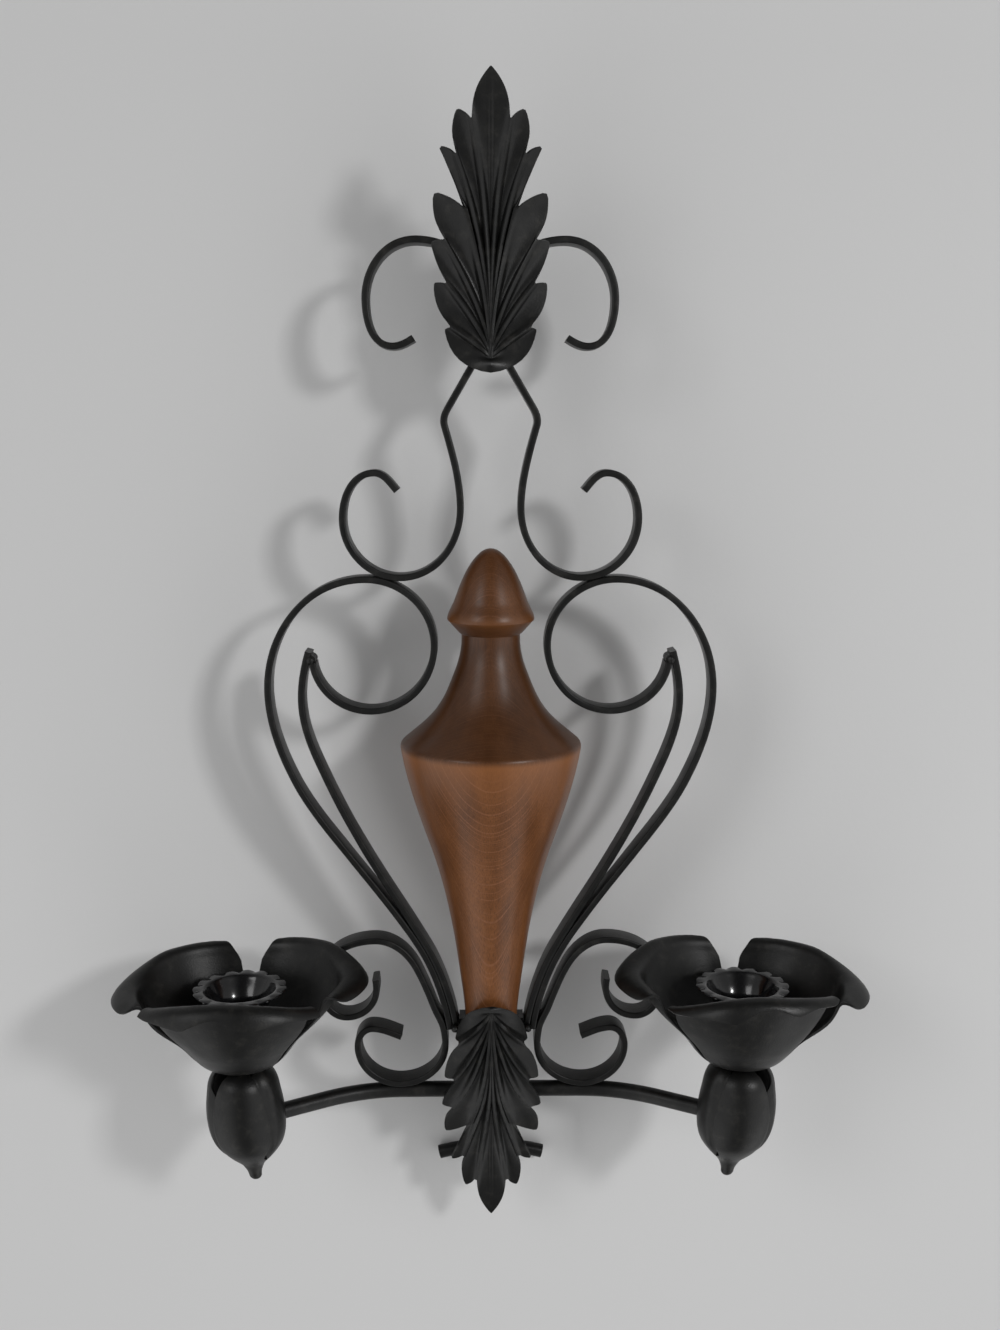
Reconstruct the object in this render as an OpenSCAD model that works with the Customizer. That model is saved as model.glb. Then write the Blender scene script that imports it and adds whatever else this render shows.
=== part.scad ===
// Double candle wall sconce: scrolled flat-bar frame, turned wood baluster, two pressed leaves,
// and a round arm that carries two flower bowls with candle cups.
// The wall is the plane Y = 0, the viewer stands at -Y, and the origin is the hanging hole.

/* [Overall] */
// Height from the hanging hole down to the middle of the candle arm
arm_drop = 402; // [330:1:490]
// Half width of the frame, to the middle of the outer bar
frame_half = 107; // [90:1:130]
// Distance from the wall to the middle of the flat bars
stand_off = 46; // [45:0.5:56]

/* [Bar and rod stock] */
// Thickness of the flat bar
bar_t = 3.2; // [2.6:0.1:3.9]
// Width of the flat bar, from front to back
bar_w = 12.7; // [10.5:0.1:15.5]
// Diameter of the candle arm
arm_d = 7.9; // [6.5:0.1:9.5]
// Diameter of the wall rest
rest_d = 7.1; // [5.9:0.1:8.6]
// Length of the wall rest along its curve
rest_l = 56; // [46:1:68]

/* [Baluster] */
// Height of the baluster
baluster_h = 234.5; // [195:0.5:242]
// Diameter at its shoulder
shoulder_d = 87.8; // [72:0.1:89]
// Diameter of the wood screw's shank
wood_screw_d = 4.6; // [3.8:0.1:5.6]

/* [Leaves] */
// Length of a leaf along its surface
leaf_l = 132.5; // [110:0.5:150]
// Greatest width of a leaf
leaf_w = 55; // [46:1:62]
// Width of the bottom leaf
bottom_leaf_w = 50.2; // [42:0.2:57]
// Thickness of the leaf sheet
leaf_t = 1; // [0.8:0.1:1.4]

/* [Candle places] */
// Distance of each candle from the middle of the sconce
cup_x = 120; // [110:0.5:144]
// Distance of the candles forward of the flat bars
cup_forward = 32; // [26:0.5:38]

/* [Candle cup] */
// Bore of the candle socket
candle_d = 22.4; // [18.6:0.1:25]
// Height of the candle cup
cup_h = 36; // [32:0.5:43]
// Diameter of the flange, over its ruffles
flange_d = 45.4; // [42:0.1:52]
// Thickness of the cup wall
cup_wall = 1.7; // [1.3:0.1:2.2]

/* [Flower bowl] */
// Diameter over the petals
bowl_d = 122.6; // [110:0.1:144]
// Height of the bowl
bowl_h = 47.5; // [42:0.5:57]
// Thickness of the petal sheet
sheet_t = 1.2; // [0.9:0.1:1.5]

/* [Calyx and stem] */
// Greatest diameter of the calyx
calyx_d = 38; // [33:0.1:45]
// Diameter of the stem inside the calyx
stem_d = 9.5; // [8:0.1:11]
// Diameter of the bowl screw and of the nut's stud
screw_d = 4; // [3:0.1:5]

/* [Wall mounting] */
// Diameter of the hanging hole
hole_d = 6.5; // [5:0.1:8]

/* [Hidden] */
$fn = 64;

iron = "#26272a";
gloss_black = "#141416";
wood = "#6e3f22";
steel = "#8d9196";

// The bends are drawn for a frame of this drop and half width, and stretched to fit
drawn_drop = 402;
drawn_half = 107;
fit = [frame_half / drawn_half, arm_drop / drawn_drop];
// Straight pieces in each bend between two stations
bend_steps = 8;

// A bend is a list of stations [x, z, heading in degrees]. Between two stations runs one cubic
// whose handles make a true arc when the two headings belong to one circle.
function heading(a) = [cos(a), sin(a)];
function handle(a, b) = norm([b.x - a.x, b.y - a.y]) * 2 / 3 / (1 + cos((b.z - a.z) / 2));
function corners(a, b) = [[a.x, a.y], [a.x, a.y] + handle(a, b) * heading(a.z),
    [b.x, b.y] - handle(a, b) * heading(b.z), [b.x, b.y]];
function cubic(p, t) = pow(1 - t, 3) * p[0] + 3 * t * pow(1 - t, 2) * p[1]
    + 3 * t * t * (1 - t) * p[2] + pow(t, 3) * p[3];
function cubic_slope(p, t) = pow(1 - t, 2) * (p[1] - p[0]) + 2 * t * (1 - t) * (p[2] - p[1])
    + t * t * (p[3] - p[2]);
function stretched(p, k) = [p.x * k.x, p.y * k.y];
function unit(v) = v / norm(v);
// Points and left-hand normals along a bend, as [[point, normal], ...]
function trace(st, k, steps) = [for (i = [0 : len(st) - 2])
    let (p = [for (q = corners(st[i], st[i + 1])) stretched(q, k)])
    for (j = [0 : (i == len(st) - 2 ? steps : steps - 1)])
        let (d = unit(cubic_slope(p, j / steps)))
        [cubic(p, j / steps), [-d.y, d.x]]];
// The station n bar thicknesses to the left of another, turned on by a whole number of turns
touching = bar_t + 0.05;
function beside(s, n, turn) = [s.x - n * touching * sin(s.z) / fit.x,
    s.y + n * touching * cos(s.z) / fit.y, s.z + turn];

// A strip of flat bar along a bend, lying in the XY plane
module strip(st, k, thick) {
    t = trace(st, k, bend_steps);
    polygon(concat([for (q = t) q[0] + thick / 2 * q[1]],
        [for (i = [len(t) - 1 : -1 : 0]) t[i][0] - thick / 2 * t[i][1]]));
}

// A flat bar bent in the frame's plane
module frame_bar(st) {
    color(iron) translate([0, -stand_off, 0]) rotate([90, 0, 0])
        linear_extrude(bar_w, center = true) strip(st, fit, bar_t);
}

// A flat strap bent in the plane X = 0, with stations [y, z, heading]
module strap(st, wide) {
    rotate([90, 0, 90]) linear_extrude(wide, center = true) strip(st, [1, 1], bar_t);
}

// Heights and places that several pieces share
arm_top_gap = 0.05;
seat_z = -362 * fit.y;
bar_front = -stand_off - bar_w / 2;
bar_back = -stand_off + bar_w / 2;
scroll_foot_z = -396.5 * fit.y - bar_t / 2;
arm_mid_z = scroll_foot_z - arm_top_gap - arm_d / 2;
cup_y = -stand_off - cup_forward;

// Frame bars, right-hand side. Where two bars meet at a loop, thicker stock moves them apart.
drawn_t = 3.2;
thicker = [(bar_t - drawn_t) / fit.x, (bar_t - drawn_t) / fit.y];
neck_x = (bar_t + 0.02) / 2 / fit.x;
upper_scroll_bend = [[35.5, -30.2, -32], [45.2, -33.9, 0], [57.5, -12.8, 90], [34.4, 13.7, 180],
    [neck_x, -14, 270], [neck_x, -27, 270], [4.2, -35.2, 300.5], [19.9, -61.9, 300.5],
    [21.6, -70, 254], [14.3, -108.5, 270], [42.9, -141, 360], [69.8, -113.5, 450],
    [54.7, -91.9, 540], [44, -100.2, 590]];
// The tail of the outer scroll, which the inner bar and the lower scroll lie against
tail_top = [33.8, -327.6, -119.5];
tail_low = [24.6, -350, -107];
tail_end = [20.6, -367.5, -99];
outer_scroll_bend = [[85.3 - thicker.x, -182, -98], [57.8, -205.4, -180], [27.1, -173.6, -270],
    [60, -141.9 - thicker.y, -360], [107, -195, -450], [94.8, -240.2, -476], [70.1, -276.7, -487],
    [48.5, -305.4, -485.5], beside(tail_top, 0, -360), beside(tail_low, 0, -360),
    beside(tail_end, 0, -360)];
inner_bar_bend = [[87.2, -176.5, -74], [91, -200, -90], [78.5, -241.7, -114], [58.7, -279.9, -120],
    beside(tail_top, -1, 0), beside(tail_low, -1, 0), beside(tail_end, -1, 0)];
// The curl that starts the lower scroll passes below the petals of the bowl, so its places are
// given from the cup's axis and the middle of the arm
curl_under_bowl = [[-62.4, 60.6, -100], [-62.8, 54.6, -86], [-48.1, 41.1, 0], [-35, 59.6, 90],
    [-62.6, 80.9, 180]];
lower_scroll_bend = concat([for (q = curl_under_bowl)
    [(cup_x + q.x) / fit.x - thicker.x, (arm_mid_z + q.y) / fit.y, q.z]],
    [[37.3, -335.4, 242], [28.6, -356, 250], beside(tail_end, 1, 360), [23, -376, 270],
    [45.9, -396.5, 360], [66.9, -376.5, 450], [59.3, -367.2, 541], [45, -371.6, 562]]);

// Stack on each stem, from the arm up
stem_top = arm_mid_z + 30;
washer_t = 1.2;
bowl_z = stem_top + washer_t;
floor_z = bowl_z + sheet_t;

module left_side() {
    mirror([1, 0, 0]) children();
}

module at_cup() {
    translate([cup_x, cup_y, 0]) children();
}

// Candle arm: a straight middle, an arc forward at each side and a straight end into the stem
arm_turn = 30;
arm_bend_r = 80;
arm_rise = arm_bend_r * (1 - cos(arm_turn));
arm_end_l = (cup_forward - arm_rise) / sin(arm_turn);
arm_straight = cup_x - arm_end_l * cos(arm_turn) - arm_bend_r * sin(arm_turn);
arm_sides = 20;

// A round rod along a bend in the plane Z = 0
module rod(st, d) {
    t = trace(st, [1, 1], 6);
    n = len(t);
    ring = [for (q = t) for (i = [0 : arm_sides - 1]) let (a = i * 360 / arm_sides)
        [q[0].x + d / 2 * cos(a) * q[1].x, q[0].y + d / 2 * cos(a) * q[1].y, d / 2 * sin(a)]];
    at = function(r, i) r * arm_sides + i % arm_sides;
    polyhedron(points = ring, faces = concat([[for (i = [0 : arm_sides - 1]) i]],
        [for (r = [0 : n - 2]) for (i = [0 : arm_sides - 1]) [at(r, i), at(r + 1, i), at(r, i + 1)]],
        [for (r = [0 : n - 2]) for (i = [0 : arm_sides - 1])
            [at(r, i + 1), at(r + 1, i), at(r + 1, i + 1)]],
        [[for (i = [arm_sides - 1 : -1 : 0]) at(n - 1, i)]]), convexity = 4);
}

// Half of the arm's stations, from the middle out, and its end against the stem
arm_out = [[arm_straight, 0, 0],
    [arm_straight + arm_bend_r * sin(arm_turn), -arm_rise, -arm_turn],
    [cup_x - (stem_d / 2 + 0.05) * cos(arm_turn),
        -cup_forward + (stem_d / 2 + 0.05) * sin(arm_turn), -arm_turn]];

module candle_arm() {
    color(iron) translate([0, -stand_off, arm_mid_z])
        rod(concat([for (i = [2 : -1 : 0]) [-arm_out[i].x, arm_out[i].y, -arm_out[i].z]],
            arm_out), arm_d);
}

// Wall rest: a short rod, arched so that its ends droop, touching the wall
rest_z = -456 * fit.y;
rest_bend_r = 105;
rest_half_turn = rest_l / 2 / rest_bend_r * 180 / PI;

module wall_rest() {
    color(iron) translate([0, -rest_d / 2, rest_z - rest_bend_r]) rotate([90, 0, 0])
        rotate([0, 0, 90 - rest_half_turn]) rotate_extrude(angle = 2 * rest_half_turn)
        translate([rest_bend_r, 0]) circle(d = rest_d);
}

// Spine strap: from behind the arm down and back to the wall rest
spine_front = -stand_off + arm_d / 2 + bar_t / 2 + 0.05;
spine_back = -rest_d - bar_t / 2 - 0.05;
spine_bend = [[spine_front, arm_mid_z + 16, -90], [spine_front, arm_mid_z - 8, -90],
    [(spine_front + spine_back) / 2, (arm_mid_z + rest_z) / 2 - 3, -46],
    [spine_back, rest_z + 3, -90], [spine_back, rest_z - 5, -90]];

module spine_strap() {
    color(iron) strap(spine_bend, bar_w);
}

// Hanger strap: flat on the wall round the hole, then forward to the back of the neck
hanger_fold = 6.5;
hanger_shelf = -14.5;
hanger_front = bar_back + bar_t / 2 + 0.02;
hanger_bend = [[-bar_t / 2, 8, -90], [-bar_t / 2, hanger_shelf + hanger_fold, -90],
    [-bar_t / 2 - hanger_fold, hanger_shelf, -180], [hanger_front + hanger_fold, hanger_shelf, -180],
    [hanger_front, hanger_shelf - hanger_fold, -90], [hanger_front, -31, -90]];

module hanger_strap() {
    color(iron) difference() {
        union() {
            strap(hanger_bend, bar_w);
            translate([0, 0, 8]) rotate([90, 0, 0]) cylinder(d = bar_w, h = bar_t);
        }
        translate([0, 1, 0]) rotate([90, 0, 0]) cylinder(d = hole_d, h = bar_t + 2);
    }
}

// Leaf stamping, flat: half of the outline as tips and notches in turn, from the stalk up
leaf_drawn_l = 132.5;
leaf_drawn_half = 26.5;
leaf_stalk = [0, 6];
leaf_keys = [[0, 0], [20.6, 19], [17.2, 20.1], [25.2, 40], [19, 39.3], [26.5, 57.5], [19.8, 58.5],
    [25, 78], [10.2, 71.3], [22.3, 98.5], [14.4, 96], [14.3, 115.5], [7.9, 111], [0, 132.5]];
// How far each edge between two keys bows out
leaf_bows = [5.5, 0.5, 2.5, 0.5, 1, 0.8, 2.3, 1.5, 0.3, 1, 2, 0.8, 2.6];
leaf_cuts = 3;
leaf_rings = 7;
leaf_ridge = 1.1;

function bowed(a, b, bow, t) = let (d = unit(b - a)) a + t * (b - a)
    + 4 * bow * t * (1 - t) * [d.y, -d.x];
leaf_half_edge = [for (i = [0 : len(leaf_keys) - 2]) for (j = [0 : leaf_cuts - 1])
    let (q = bowed(leaf_keys[i], leaf_keys[i + 1], leaf_bows[i], j / leaf_cuts))
    [q.x, q.y, (i + j / leaf_cuts) / 2]];
leaf_tip_edge = [[0, leaf_drawn_l, (len(leaf_keys) - 1) / 2]];
leaf_edge = concat(leaf_half_edge, leaf_tip_edge,
    [for (i = [len(leaf_half_edge) - 1 : -1 : 1]) [-leaf_half_edge[i].x, leaf_half_edge[i].y,
        leaf_half_edge[i].z]]);
// A vein leaves the stalk along the midrib and swings out to its place on the edge
function vein(e, v) = let (p = 1.5 + 1.3 * e.y / leaf_drawn_l)
    [e.x * pow(v, p), leaf_stalk.y + (e.y - leaf_stalk.y) * v];
// Ridges run to the notches and hollows to the tips
function relief(e, v) = leaf_ridge * cos(360 * e.z) * sin(90 * min(1, 2 * v)) * (1 - 0.4 * v);

// The middle line of a leaf in the plane X = 0: [length so far, y, z, normal y, normal z]
function run(t, i, l) = i >= len(t) ? []
    : let (m = l + (i == 0 ? 0 : norm(t[i][0] - t[i - 1][0])))
        concat([[m, t[i][0].x, t[i][0].y, t[i][1].x, t[i][1].y]], run(t, i + 1, m));
function column(t, n) = [for (q = t) [q[0], q[n]]];

// It is hollowed across its width by cups, given as [length so far, hollow], towards the front
module leaf(st, front, width, cups) {
    line = run(trace(st, [1, 1], 10), 0, 0);
    kx = width / 2 / leaf_drawn_half;
    ks = leaf_l / leaf_drawn_l;
    function place(x, s, lift) = let (far = lookup(s / ks, cups), up = lift - far * x * x,
            ny = front * lookup(s, column(line, 3)),
            nz = front * lookup(s, column(line, 4)))
        [x * (1 - pow(far * x, 2) * 2 / 3), lookup(s, column(line, 1)) + up * ny,
            lookup(s, column(line, 2)) + up * nz];
    n = len(leaf_edge);
    layer = function(lift) concat([place(0, leaf_stalk.y * ks, lift)],
        [for (r = [1 : leaf_rings]) for (e = leaf_edge) let (q = vein(e, r / leaf_rings))
            place(q.x * kx, q.y * ks, lift + relief(e, r / leaf_rings))]);
    m = n * leaf_rings + 1;
    at = function(r, i) 1 + (r - 1) * n + (i % n);
    skin = concat([for (i = [0 : n - 1]) [0, at(1, i + 1), at(1, i)]],
        [for (r = [1 : leaf_rings - 1]) for (i = [0 : n - 1])
            [at(r, i), at(r, i + 1), at(r + 1, i + 1)]],
        [for (r = [1 : leaf_rings - 1]) for (i = [0 : n - 1])
            [at(r, i), at(r + 1, i + 1), at(r + 1, i)]]);
    back = [for (f = skin) [f[2] + m, f[1] + m, f[0] + m]];
    rim = [for (i = [0 : n - 1]) for (f = [[at(leaf_rings, i), at(leaf_rings, i + 1),
            at(leaf_rings, i + 1) + m], [at(leaf_rings, i), at(leaf_rings, i + 1) + m,
            at(leaf_rings, i) + m]]) f];
    color(iron) polyhedron(points = concat(layer(0), layer(-leaf_t)),
        faces = front > 0 ? concat(skin, back, rim)
            : [for (f = concat(skin, back, rim)) [f[2], f[1], f[0]]], convexity = 10);
}

// The top leaf stands up in front of the neck and leans forward above the hooks
top_leaf_y = bar_front - 5.4;
top_leaf_bend = [[top_leaf_y, -46, 90], [top_leaf_y - 2, 22, 97], [top_leaf_y - 20, 56, 112],
    [top_leaf_y - 24.5, 84, 90]];

module top_leaf() {
    leaf(top_leaf_bend, 1, leaf_w, [[0, 0.0045], [leaf_drawn_l, 0.008]]);
}

// The bottom leaf hangs from in front of the baluster's foot and curves back to the wall
bottom_leaf_y = bar_front - 10.65;
bottom_leaf_z = seat_z + 11.2;
bottom_leaf_bend = [[bottom_leaf_y, bottom_leaf_z, -93.4],
    [bottom_leaf_y - 0.8, bottom_leaf_z - 30, -89.6],
    [bottom_leaf_y + 6.5, bottom_leaf_z - 53.5, -56.2],
    [bottom_leaf_y + 19.2, bottom_leaf_z - 75, -62.5],
    [bottom_leaf_y + 26.1, bottom_leaf_z - 98.9, -85.1],
    [bottom_leaf_y + 28, bottom_leaf_z - 126.3, -87.3]];

module bottom_leaf() {
    leaf(bottom_leaf_bend, -1, bottom_leaf_w, [[0, 0.0312], [45, 0.0052], [90, -0.0045],
        [leaf_drawn_l, 0.0046]]);
}

// Baluster: half profile as stations [radius, height above the seat, heading], top to bottom
baluster_drawn_h = 234.5;
baluster_drawn_r = 43.9;
acorn = [[0, 234.5, 0], [7.5, 230, -50], [17.5, 209.7, -70], [20.9, 201.5, -80]];
acorn_edge = [[20.5, 200], [14.4, 193.6]];
flare = [[14.1, 191.5, -90], [17.3, 175.7, -69], [26.6, 156.6, -53], [42.9, 141.2, -41]];
taper = [[43.9, 138.5, -99], [30, 89.5, -109.5], [15.9, 25.5, -97.5], [13, 0, -93]];
baluster_k = [shoulder_d / 2 / baluster_drawn_r, baluster_h / baluster_drawn_h];
pilot_l = 28;

module baluster() {
    outline = concat([for (q = trace(acorn, baluster_k, 10)) q[0]],
        [for (q = acorn_edge) stretched(q, baluster_k)],
        [for (q = trace(flare, baluster_k, 6)) q[0]],
        [for (q = trace(taper, baluster_k, 6)) q[0]], [[0, 0]]);
    color(wood) translate([0, -stand_off, seat_z]) difference() {
        rotate_extrude() polygon(outline);
        translate([0, 0, -1]) cylinder(d = wood_screw_d + 0.1, h = pilot_l + 1);
    }
}

// Seat: a flat plate between the two bundles of bars, with round edges under the baluster
seat_t = 3;
seat_half = (tail_end.x + 0.4) * fit.x - 1.5 * bar_t - 0.15;
seat_r = min(shoulder_d * 0.16, seat_half);

module baluster_seat() {
    color(iron) translate([0, -stand_off, seat_z - seat_t]) difference() {
        union() {
            cylinder(r = seat_r, h = seat_t);
            translate([-seat_half, -bar_w / 2 + 1, 0]) cube([2 * seat_half, bar_w - 2, seat_t]);
        }
        translate([0, 0, -1]) cylinder(d = wood_screw_d + 0.4, h = seat_t + 2);
    }
}

module baluster_screw() {
    color(steel) translate([0, -stand_off, seat_z - seat_t]) {
        translate([0, 0, -3.2]) cylinder(d = 2.1 * wood_screw_d, h = 3.2, $fn = 6);
        cylinder(d = wood_screw_d, h = seat_t + pilot_l - 6);
        translate([0, 0, seat_t + pilot_l - 6]) cylinder(d1 = wood_screw_d, d2 = 0.6, h = 5);
    }
}

// Stem: a short round post, tapped at both ends, that the arm is welded to
stem_l = 46.5;
tap_l = 12;

module stem() {
    color(iron) at_cup() translate([0, 0, stem_top - stem_l]) difference() {
        cylinder(d = stem_d, h = stem_l);
        translate([0, 0, -1]) cylinder(d = screw_d + 0.1, h = tap_l + 1);
        translate([0, 0, stem_l - tap_l]) cylinder(d = screw_d + 0.1, h = tap_l + 1);
    }
}

// Calyx: three pressed petals closed into a bulb, punched for the arm and clamped at the bottom
calyx_drawn_r = 17.5;
calyx_k = (calyx_d / 2 - sheet_t) / calyx_drawn_r;
calyx_ring_z = stem_top - stem_l;
calyx_bend = [[12.4, 44.4, -30], [16.7, 33.5, -80], [17.5, 23.5, -90], [14, 10, -124],
    [8.1, 1.7, -141]];
calyx_foot_r = 8.6;
slit_wide = 12;
slit_top = 46;
slit_foot = 17;

module calyx_shell() {
    mid = trace(calyx_bend, [calyx_k, 1], 6);
    rotate_extrude() polygon(concat([for (q = mid) q[0] + sheet_t * q[1]],
        [[calyx_foot_r, 0], [0, 0], [0, sheet_t], [stem_d / 2 + 0.6, sheet_t]],
        [for (i = [len(mid) - 1 : -1 : 0]) mid[i][0]]));
}

module petal_slit(wide, foot, top, reach) {
    rotate([90, 0, 90]) linear_extrude(reach)
        polygon([[-wide / 2, top], [-wide * 0.36, (2 * top + foot) / 3],
            [-0.4, foot], [0.4, foot], [wide * 0.36, (2 * top + foot) / 3], [wide / 2, top]]);
}

module calyx() {
    color(iron) at_cup() translate([0, 0, calyx_ring_z - sheet_t]) difference() {
        calyx_shell();
        for (turn = [90, 210, 330]) {
            rotate([0, 0, turn]) petal_slit(slit_wide, slit_foot, slit_top, calyx_d);
        }
        translate([0, 0, -1]) cylinder(d = screw_d + 0.4, h = 4);
        translate([0, 0, arm_mid_z - calyx_ring_z + sheet_t]) rotate([0, 0, 180 - arm_turn])
            rotate([0, 90, 0]) cylinder(d = arm_d + 0.5, h = calyx_d);
    }
}

// Finial nut: the rounded nub below the calyx, on a stud that screws into the stem
nub_l = 12.4;

module finial_nut() {
    color(iron) at_cup() translate([0, 0, calyx_ring_z - sheet_t]) {
        rotate_extrude() polygon([[0, 0], [calyx_foot_r - 0.3, 0], [6.7, -2.2], [5.2, -4.6],
            [4.1, -7], [3.3, -9.4], [2.9, -nub_l + 1.4], [2.1, -nub_l + 0.5],
            [0.9, -nub_l + 0.05], [0, -nub_l]]);
        cylinder(d = screw_d, h = tap_l - 2);
    }
}

module bowl_washer() {
    color(steel) at_cup() translate([0, 0, stem_top]) difference() {
        cylinder(d = 12, h = washer_t);
        translate([0, 0, -1]) cylinder(d = screw_d + 0.4, h = washer_t + 2);
    }
}

// Flower bowl: a flat floor and three petals with the lip rolled out and down. Their crest and
// lip change round the bowl: keys are [degrees from the side next to the wall, size].
bowl_drawn_r = 61.3;
bowl_drawn_h = 47.5;
bowl_k = [bowl_d / 2 / bowl_drawn_r, bowl_h / bowl_drawn_h];
crest_r = [[0, 40.5], [30, 44], [60, 47.9], [90, 52], [118, 48.5], [122, 47], [150, 43.6], [180, 42]];
crest_h = [[0, 44.8], [30, 46], [60, 46.6], [90, 39.5], [118, 36.5], [122, 39.5], [150, 44.6],
    [180, 46.3]];
lip_r = [[0, 42.6], [30, 46], [58, 49.6], [75, 56], [90, 61.3], [104, 58.5], [118, 53], [122, 52],
    [150, 50], [180, 48.2]];
lip_h = [[0, 43], [30, 44.2], [58, 44.6], [75, 40], [90, 35.2], [104, 34], [118, 33], [122, 34.5],
    [150, 38.3], [180, 40]];
notch_half = [[0, 0.3], [4, 2.2], [27, 3.4], [37, 5.5], [42, 9], [47, 13]];
// The petals are bent lower on the side away from the middle of the sconce
bowl_lean = 4.4;
petal_cols = 8;
bowl_cols = 3 * (petal_cols + 1);
joined_rings = 2;

function petal_bend(a) = let (r = lookup(a, crest_r), h = lookup(a, crest_h))
    [[14.2, 0, 0], [27, 10.5, 52], [r - 4, h - 6, 66], [r, h, 0],
        [lookup(a, lip_r), lookup(a, lip_h), -64]];
// One column of the bowl, from the screw hole out: [[point, normal, turn in degrees], ...]
function petal_column(mid_turn, u) = let (a = abs((mid_turn + 60 * u + 450) % 360 - 180))
    [for (q = concat([[[screw_d / 2 + 0.2, 0], [0, 1]]], trace(petal_bend(a), bowl_k, 4)))
        [q[0], q[1], mid_turn + u * (60 - asin(lookup(q[0].y, notch_half) / (q[0].x + 2)))]];

module petal_sheet() {
    cols = [for (turn = [30, 150, 270]) for (i = [0 : petal_cols])
        petal_column(turn, 2 * i / petal_cols - 1)];
    rings = len(cols[0]);
    layer = function(t) [for (k = [0 : rings - 1]) for (c = cols)
        let (q = c[k], r = q[0].x + t * q[1].x, out = max(0, q[0].x / bowl_drawn_r - 0.25))
        [r * cos(q[2]), r * sin(q[2]), q[0].y + t * q[1].y - bowl_lean * cos(q[2]) * out]];
    m = rings * bowl_cols;
    at = function(k, c) k * bowl_cols + c % bowl_cols;
    inside = function(c) c % (petal_cols + 1) < petal_cols;
    quads = concat(
        [for (k = [0 : rings - 2]) for (c = [0 : bowl_cols - 1]) if (inside(c) || k < joined_rings)
            for (q = [[at(k, c), at(k, c + 1), at(k + 1, c + 1), at(k + 1, c)]])
            for (f = [[for (v = q) v + m], [q[3], q[2], q[1], q[0]]]) f],
        [for (c = [0 : bowl_cols - 1]) [at(0, c + 1) + m, at(0, c) + m, at(0, c), at(0, c + 1)]],
        [for (c = [0 : bowl_cols - 1]) let (k = inside(c) ? rings - 1 : joined_rings)
            [at(k, c) + m, at(k, c + 1) + m, at(k, c + 1), at(k, c)]],
        [for (k = [joined_rings : rings - 2]) for (p = [0 : 2]) let (c = p * (petal_cols + 1))
            [at(k, c) + m, at(k + 1, c) + m, at(k + 1, c), at(k, c)]],
        [for (k = [joined_rings : rings - 2]) for (p = [0 : 2])
            let (c = p * (petal_cols + 1) + petal_cols)
            [at(k + 1, c) + m, at(k, c) + m, at(k, c), at(k + 1, c)]]);
    polyhedron(points = concat(layer(0), layer(sheet_t)),
        faces = [for (q = quads) for (f = [[q[0], q[1], q[2]], [q[0], q[2], q[3]]]) f],
        convexity = 8);
}

module flower_bowl() {
    color(iron) at_cup() translate([0, 0, bowl_z]) petal_sheet();
}

module bowl_screw() {
    color(steel) at_cup() translate([0, 0, floor_z]) {
        cylinder(d = 2 * screw_d, h = 2.4);
        translate([0, 0, -sheet_t - washer_t - tap_l + 2])
            cylinder(d = screw_d, h = sheet_t + washer_t + tap_l - 2);
    }
}

// Candle cup: a loose socket over the screw head, flared to a ruffled flange
foot_r = candle_d / 2 + cup_wall;
head_room = 3.2;
cup_floor = 4.6;
flare_z = cup_h - 10.5;
throat_r = 17.2;
ruffles = 16;
ruffle_r = 3;
flange_t = 1.3;

module cup_profile() {
    polygon([[0, head_room], [5.2, head_room], [5.2, 0], [foot_r, 0], [foot_r, flare_z - 1],
        [foot_r + 1.6, flare_z + 3.5], [throat_r + 0.4, cup_h - flange_t - 1.6],
        [throat_r + 2, cup_h - flange_t], [flange_d / 2 - ruffle_r * 0.6, cup_h - flange_t],
        [flange_d / 2 - ruffle_r * 0.6, cup_h], [throat_r + 1.3, cup_h],
        [throat_r - 0.6, cup_h - 1.8], [candle_d / 2 + 1.8, flare_z + 4],
        [candle_d / 2 + 0.4, flare_z + 1.5], [candle_d / 2, flare_z],
        [candle_d / 2, cup_floor], [0, cup_floor]]);
}

module candle_cup() {
    color(gloss_black) at_cup() translate([0, 0, floor_z]) {
        rotate_extrude() cup_profile();
        difference() {
            for (i = [0 : ruffles - 1]) {
                rotate([0, 0, i * 360 / ruffles])
                    translate([flange_d / 2 - ruffle_r, 0, cup_h - flange_t])
                    cylinder(r = ruffle_r, h = flange_t);
            }
            translate([0, 0, cup_h - flange_t - 1])
                cylinder(r = flange_d / 2 - 2 * ruffle_r, h = flange_t + 2);
        }
    }
}

// Weld beads: balls, and short runs of bead along Y or Z, on the hidden sides of the joints
module bead(p, r) {
    translate(p) sphere(r);
}

module bead_run(p, r, l, turn) {
    translate(p) rotate(turn) {
        cylinder(r = r, h = l, center = true);
        translate([0, 0, -l / 2]) sphere(r);
        translate([0, 0, l / 2]) sphere(r);
    }
}

leaf_bead_x = 0.36 * bottom_leaf_w;

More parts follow.
